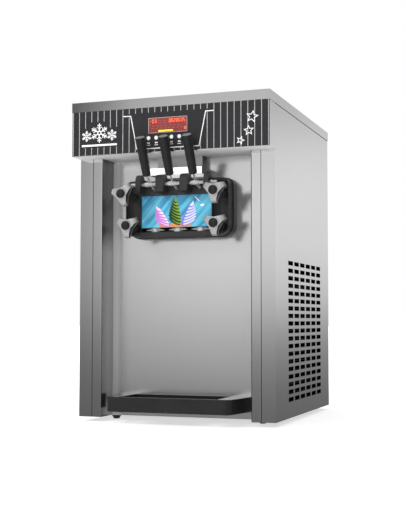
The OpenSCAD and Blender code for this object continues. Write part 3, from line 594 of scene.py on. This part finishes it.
bm = bmesh.new()
line_plates(bm, rect(-52.2, 52.2, 728.0, 766.0), 1.3, DISPLAY_BACK, DISPLAY_Y - 0.12, closed=True)
finish_mesh("display_rim", bm, "display_rim")

SEGMENTS = {"0": "abcdef", "2": "abged", "3": "abgcd", "5": "afgcd", "8": "abcdefg", "-": "g"}


def digit(bm, char, x, z, w, h, t):
    """A seven-segment figure, w wide and h high, with its lower left corner at (x, z) and bars t thick."""
    middle = z + h / 2
    bars = {
        "a": rect(x + t, x + w - t, z + h - t, z + h),
        "b": rect(x + w - t, x + w, middle + t / 3, z + h - t / 2),
        "c": rect(x + w - t, x + w, z + t / 2, middle - t / 3),
        "d": rect(x + t, x + w - t, z, z + t),
        "e": rect(x, x + t, z + t / 2, middle - t / 3),
        "f": rect(x, x + t, middle + t / 3, z + h - t / 2),
        "g": rect(x + t, x + w - t, middle - t / 2, middle + t / 2),
    }
    for s in SEGMENTS[char]:
        add_plate(bm, bars[s], DISPLAY_BACK, DISPLAY_Y - 0.08)


bm = bmesh.new()
# two groups of figures, then a colon lower down
for i, char in enumerate("-03"):
    digit(bm, char, -49.0 + i * 6.6, 753.0, 5.2, 9.5, 1.5)
for i, char in enumerate("0028035"):
    digit(bm, char, 3.5 + i * 6.4, 753.0, 5.0, 9.5, 1.5)
for z in (733.5, 737.0):
    add_plate(bm, rect(44.5, 49.5, z, z + 2.6), DISPLAY_BACK, DISPLAY_Y - 0.08)
finish_mesh("display_figures", bm, "display_digit")

bm = bmesh.new()
for i in range(9):
    add_plate(bm, rect(-25.0 + i * 4.4, -21.2 + i * 4.4, 730.2, 734.2), DISPLAY_BACK, DISPLAY_Y - 0.08)
finish_mesh("display_level_bar", bm, "display_bar")

# faint rings between the figures and two rows of dashes under them
bm = bmesh.new()
for i in range(3):
    ring = ellipse(-22 + i * 14, 755, 4.2, 4.2, 0, 12)
    line_plates(bm, ring, 1.1, DISPLAY_BACK, DISPLAY_Y - 0.07, closed=True)
for row, z in ((0, 744.5), (1, 738.5)):
    for i in range(7 + row):
        x = -42 + i * 11.5 - row * 3
        add_plate(bm, rect(x, x + 5.5, z, z + 1.6), DISPLAY_BACK, DISPLAY_Y - 0.07)
finish_mesh("display_icons", bm, "display_icon")

# two rows of plain marks under the keys
bm = bmesh.new()
for i in range(6):
    x = -52.1 + i * 20.9
    for dx in (-3.4, 0.4):
        add_plate(bm, rect(x + dx, x + dx + 3.0, 701.0, 704.6), PRINT_BACK, PRINT_Y)
    add_plate(bm, rect(x - 4.6, x + 4.6, 696.3, 697.9), PRINT_BACK, PRINT_Y)
finish_mesh("key_marks", bm, "white_ink")

# ---------------------------------------------------------------- picture card

CARD_Y = 12.0
CARD_BACK = CARD_Y + 0.02
CARD = (-95.9, 95.9, 491.6, 574.0)
CARD_MARGIN = 0.3


def card_background():
    """Sky blue with diagonal streaks of light, darker towards its upper edge."""
    m, t, shader, at = surface("card_sky", (0.07, 0.45, 0.65), 0.3)
    turn = t.nodes.new("ShaderNodeMapping")
    turn.inputs["Rotation"].default_value = (0, math.radians(-42), 0)
    t.links.new(at, turn.inputs[0])
    streak = noise(t, turn.outputs[0], 70.0, (1.0, 1.0, 0.07), 2.0)
    colour = shade(t, remap(t, streak, 0, 1, 0.4, 0.62), (0.030, 0.22, 0.40), (0.13, 0.50, 0.66))
    t.links.new(colour, shader.inputs["Base Color"])
    upper = math_node(t, "MULTIPLY", place(t, at, "Z", 544, 580), 0.6)
    blend(t, upper, (0.02, 0.10, 0.20), shader.inputs["Base Color"])
    return m


materials["card_sky"] = card_background()
nodes["picture_card"].data.materials[0] = materials["card_sky"]
swirls = {
    "violet": ((0.56, 0.20, 0.64), (0.84, 0.68, 0.87)),
    "green": ((0.010, 0.045, 0.010), (0.22, 0.38, 0.03)),
    "blue": ((0.20, 0.19, 0.66), (0.66, 0.70, 0.88)),
}
for name, (dark, light) in swirls.items():
    materials["cream_%s_low" % name] = print_ink("cream_%s_low" % name, dark, 0.3)
    materials["cream_%s_high" % name] = print_ink("cream_%s_high" % name, light, 0.3)
materials["wafer"] = print_ink("wafer", (0.72, 0.30, 0.08), 0.35)
materials["wafer_line"] = print_ink("wafer_line", (0.50, 0.15, 0.04), 0.35)
materials["cloud_white"] = print_ink("cloud_white", (0.88, 0.94, 0.96), 0.3)


def swirl_layers(cx, z0, width, height, layers, lean):
    """Centres and sizes of the stacked turns of a soft ice, from the cone up."""
    for i in range(layers):
        f = i / layers
        r = width / 2 * min(0.86 + 1.1 * f, 1.0) * (1 - f ** 1.6) ** 0.8 + 0.6
        yield cx + lean * f ** 1.3, z0 + height * (f * 0.92 + 0.05), r, height / layers * 0.98


def clip_to_card(points):
    """Moves points that lie past the card's border onto a line just inside it."""
    x0, x1, z0, z1 = CARD
    x0, x1, z0, z1 = x0 + CARD_MARGIN, x1 - CARD_MARGIN, z0 + CARD_MARGIN, z1 - CARD_MARGIN
    return [(min(max(x, x0), x1), min(max(z, z0), z1)) for x, z in points]


def draw_ice(name, flavour, cx, z0, width, height, layers, lean, tilt):
    """A soft ice on a cone, printed as overlapping turns with a dark fold under each."""
    low, high = bmesh.new(), bmesh.new()
    for i, (x, z, r, h) in enumerate(swirl_layers(cx, z0, width, height, layers, lean)):
        y = CARD_Y - 0.04 - 0.03 * i
        fold = ellipse(x, z, r, h * 0.75, tilt)
        turn = ellipse(x + r * 0.16, z + h * 0.16, r * 0.84, h * 0.46, tilt)
        add_plate(low, clip_to_card(fold), CARD_BACK, y)
        add_plate(high, clip_to_card(turn), CARD_BACK, y - 0.015)
    y = CARD_Y - 0.04 - 0.03 * layers
    x, z = cx + lean, z0 + height * 0.97
    tip = [(x - width * 0.09, z - height * 0.09), (x + width * 0.09, z - height * 0.09),
           (x + width * 0.05 + lean * 0.1, z + height * 0.02), (x + lean * 0.2, z + height * 0.07)]
    add_plate(high, clip_to_card(tip), CARD_BACK, y - 0.01)
    finish_mesh("card_%s_folds" % name, low, "cream_%s_low" % flavour)
    finish_mesh("card_%s_turns" % name, high, "cream_%s_high" % flavour)


def draw_cone(name, cx, z_top, width, lean):
    """A wafer cone cut off by the card's lower edge, with crossing lines."""
    bm = bmesh.new()
    z1 = CARD[2]
    half = width * 0.36
    shrink = 1 - (z_top - z1) / (width * 1.6)
    cone = [(cx - half, z_top), (cx + half, z_top), (cx + half * shrink - lean, z1),
            (cx - half * shrink - lean, z1)]
    add_plate(bm, clip_to_card(cone), CARD_BACK, CARD_Y - 0.03)
    finish_mesh("card_%s_cone" % name, bm, "wafer")
    bm = bmesh.new()
    for i in range(-2, 3):
        x = cx + i * half * 0.42
        for s in (-1, 1):
            foot_x = x + s * (z_top - z1) * 0.7 - lean * 0.5
            if abs(foot_x - cx + lean * 0.5) < half * 0.95:
                ends = [(x, z_top - 0.6), (foot_x, z1 + 0.4)]
                line_plates(bm, clip_to_card(ends), 0.6, CARD_BACK, CARD_Y - 0.05)
    finish_mesh("card_%s_wafer" % name, bm, "wafer_line")


draw_cone("left", -36.0, 500.5, 42.0, -4.0)
draw_ice("left", "violet", -38.0, 500.0, 43.0, 46.0, 6, -15.0, -26)
draw_cone("right", 27.0, 500.5, 42.0, 4.0)
draw_ice("right", "blue", 32.0, 500.0, 46.0, 56.0, 7, 12.0, 22)
draw_cone("middle", -4.0, 502.0, 38.0, 0.0)
draw_ice("middle", "green", -4.0, 503.0, 40.0, 66.0, 8, 2.0, -30)

bm = bmesh.new()
add_plate(bm, ellipse(71.0, 546.5, 5.2, 3.0, 12, 24), CARD_BACK, CARD_Y - 0.06)
line_plates(bm, [(52.0, 568.5), (58.0, 561.5), (62.5, 557.5)], 2.0, CARD_BACK, CARD_Y - 0.06)
finish_mesh("card_glints", bm, "cloud_white")

# ---------------------------------------------------------------- handles

LATHE_STEPS = 48
LEAN = math.radians(27.3)
HANDLE_L = 102.0
HANDLE_FOOT = (-35.0, 622.0)
DISC_PROFILE = [(HANDLE_L - 0.6, 11.6), (HANDLE_L + 0.10, 11.6), (HANDLE_L + 0.22, 11.4),
                (HANDLE_L + 0.22, 10.9), (HANDLE_L + 0.12, 10.5)]
materials["handle_disc"] = moulded("handle_disc", (0.26, 0.26, 0.262), 0.8, grain=0.05, spread=0.05)


def handle_point(x, along, r, a):
    """A point on a handle: distance along its axis, radius and angle round it."""
    u = r * math.cos(a)
    v = r * math.sin(a)
    y = HANDLE_FOOT[0] - along * math.sin(LEAN) + v * math.cos(LEAN)
    z = HANDLE_FOOT[1] + along * math.cos(LEAN) + v * math.sin(LEAN)
    return P(x + u, y, z)


def lathe(bm, x, profile):
    """Turns a profile of (along, radius) pairs round the axis of the handle that stands at x."""
    turns = [2 * math.pi * i / LATHE_STEPS for i in range(LATHE_STEPS)]
    rings = [[bm.verts.new(handle_point(x, along, r, a)) for a in turns] for along, r in profile]
    for low, high in zip(rings, rings[1:]):
        for i in range(LATHE_STEPS):
            j = (i + 1) % LATHE_STEPS
            bm.faces.new((low[i], low[j], high[j], high[i]))
    bm.faces.new(rings[0])
    bm.faces.new(list(reversed(rings[-1])))


for side, x in (("left", -63.0), ("middle", 0.0), ("right", 63.0)):
    bm = bmesh.new()
    lathe(bm, x, DISC_PROFILE)
    finish_mesh("handle_disc_" + side, bm, "handle_disc", body="lever_" + side)

# ---------------------------------------------------------------- dark sheets as painted shade

# dark sheets put in as painted shade: a strip behind each seam of the front, and sheets behind the air
# slots at the left and the rear
materials["dark_back"] = moulded("dark_back", (0.012, 0.012, 0.012), 0.9)
SEAM_X = 230.7
for side, s in (("left", -1), ("right", 1)):
    bm = bmesh.new()
    add_plate(bm, rect(SEAM_X * s - 4.0, SEAM_X * s + 4.0, 1.0, 677.0), 1.7, 1.3)
    finish_mesh("seam_strip_" + side, bm, "dark_back")
bm = bmesh.new()
corners = [P(x, y, z) for x in (-266.1, -265.5) for y in (118.0, 490.0) for z in (34.0, 414.0)]
bmesh.ops.convex_hull(bm, input=[bm.verts.new(c) for c in corners])
finish_mesh("dust_screen_left", bm, "dark_back")
bm = bmesh.new()
add_plate(bm, rect(-156.0, 152.0, 172.0, 462.0), 588.2, 587.6)
finish_mesh("dust_screen_rear", bm, "dark_back")

# ---------------------------------------------------------------- floor

# a wide disc whose rings grow outwards; it glows away from the machine, to end in white
bm = bmesh.new()
RINGS, SPOKES = 10, 64
FLOOR_RADIUS = 40.0
turns = [2 * math.pi * i / SPOKES for i in range(SPOKES)]
rings = [[bm.verts.new((0, 0, 0))]]
for k in range(1, RINGS + 1):
    r = FLOOR_RADIUS * (k / RINGS) ** 2.2
    rings.append([bm.verts.new((r * math.cos(a), r * math.sin(a), 0)) for a in turns])
for i in range(SPOKES):
    bm.faces.new((rings[0][0], rings[1][i], rings[1][(i + 1) % SPOKES]))
for low, high in zip(rings[1:], rings[2:]):
    for i in range(SPOKES):
        j = (i + 1) % SPOKES
        bm.faces.new((low[i], high[i], high[j], low[j]))
mesh = bpy.data.meshes.new("floor")
bm.to_mesh(mesh)
bm.free()
floor = bpy.data.objects.new("floor", mesh)
bpy.context.scene.collection.objects.link(floor)
m, t, shader, at = surface("floor_paint", (0.86, 0.86, 0.86), 0.9)
t.links.new(shade(t, remap(t, noise(t, at, 3.0), 0, 1), (0.85, 0.85, 0.85), (0.87, 0.87, 0.87)),
            shader.inputs["Base Color"])
distance = add(t, "ShaderNodeVectorMath", operation="LENGTH")
t.links.new(at, distance.inputs[0])
shader.inputs["Emission Color"].default_value = (1, 1, 1, 1)
t.links.new(remap(t, distance.outputs["Value"], 0.62, 1.1, 0.42, 1.5), shader.inputs["Emission Strength"])
mesh.materials.append(m)
floor.visible_glossy = False
